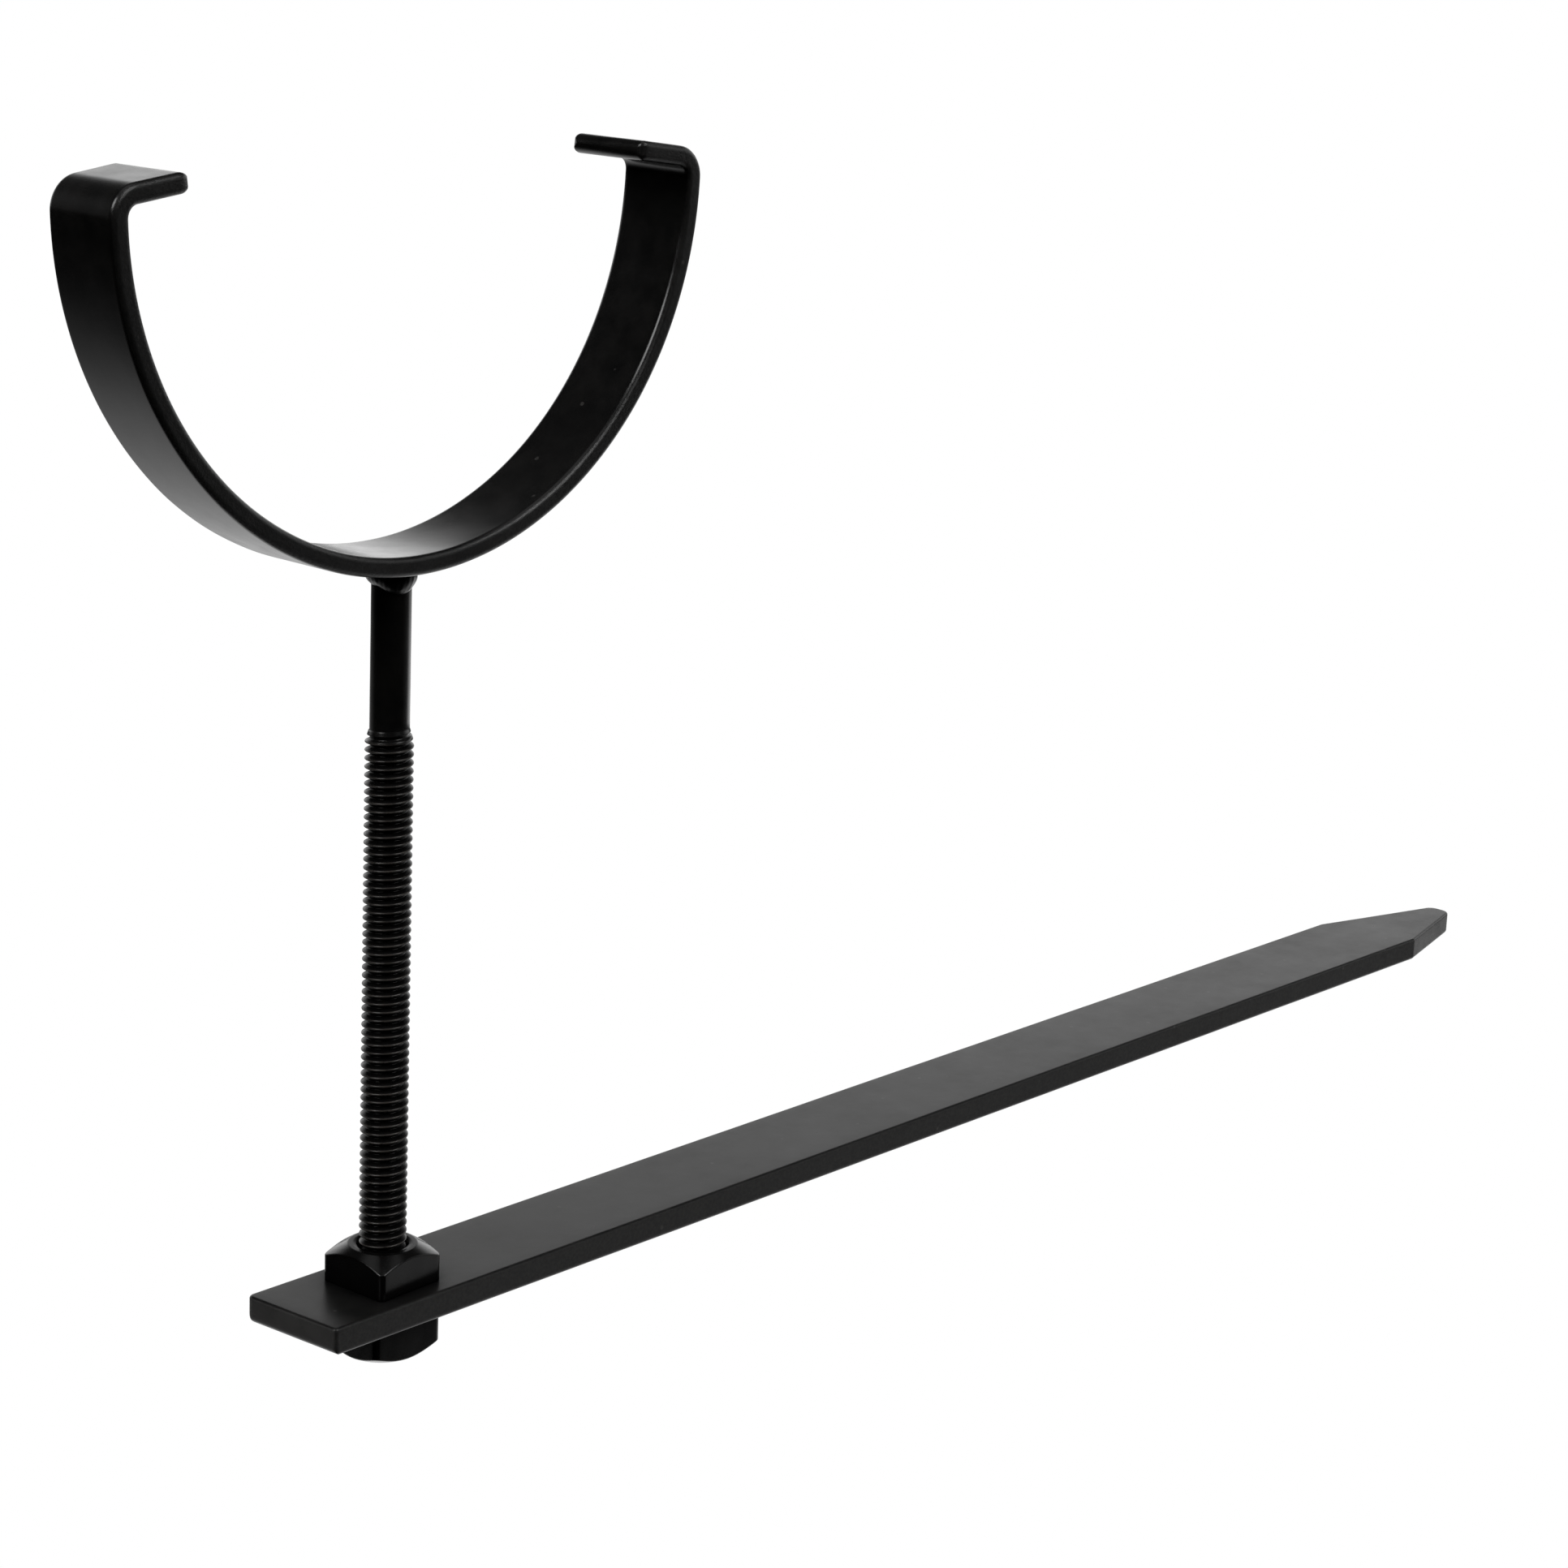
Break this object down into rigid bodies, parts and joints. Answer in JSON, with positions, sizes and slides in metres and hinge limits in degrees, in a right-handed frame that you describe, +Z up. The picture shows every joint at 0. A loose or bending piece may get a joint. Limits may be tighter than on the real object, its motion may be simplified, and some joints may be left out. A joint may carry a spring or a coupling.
{
  "type": "gutter bracket",
  "caption": "Rise-and-fall half-round gutter bracket: strap cradle on a threaded stud, held by square nuts in a flat drive-in spike.",
  "frame": {"origin": "centre of the half-round gutter seat, midway across the strap, with the cradle at its highest", "axes": "+X along the spike to its point, into the wall; +Y along the gutter; +Z up along the stud"},
  "size_m": [0.3853, 0.0206, 0.2],
  "materials": {
    "strap_paint": "semi-gloss black paint over steel, light orange peel",
    "weld_paint": "semi-gloss black paint over rippled weld metal",
    "stud_paint": "thin satin black paint over rolled thread",
    "nut_paint": "gloss black paint",
    "spike_paint": "satin black paint over flat bar"
  },
  "bodies": {
    "spike": {"spike": "spike_paint"},
    "upper_nut": {"upper_nut": "nut_paint"},
    "lower_nut": {"lower_nut": "nut_paint"},
    "hanger": {"cradle_strap": "strap_paint", "weld_beads": "weld_paint", "stud": "stud_paint"}
  },
  "joints": [
    {"name": "upper_nut_turn", "type": "hinge", "parent": "spike", "child": "upper_nut", "pos_m": [0, 0, -0.1826], "axis": [0, 0, 1], "range_deg": [-1, 21601]},
    {"name": "lower_nut_turn", "type": "hinge", "parent": "spike", "child": "lower_nut", "pos_m": [0, 0, -0.1875], "axis": [0, 0, 1], "range_deg": [-1, 21601]},
    {"name": "rise_and_fall", "type": "slide", "parent": "spike", "child": "hanger", "axis": [0, 0, 1], "range_m": [-0.08467, 0]}
  ],
  "couplings": [
    {"joint": "upper_nut_turn", "follows": "rise_and_fall", "rad_per_m": -4452.7},
    {"joint": "lower_nut_turn", "follows": "rise_and_fall", "rad_per_m": -4452.7}
  ]
}
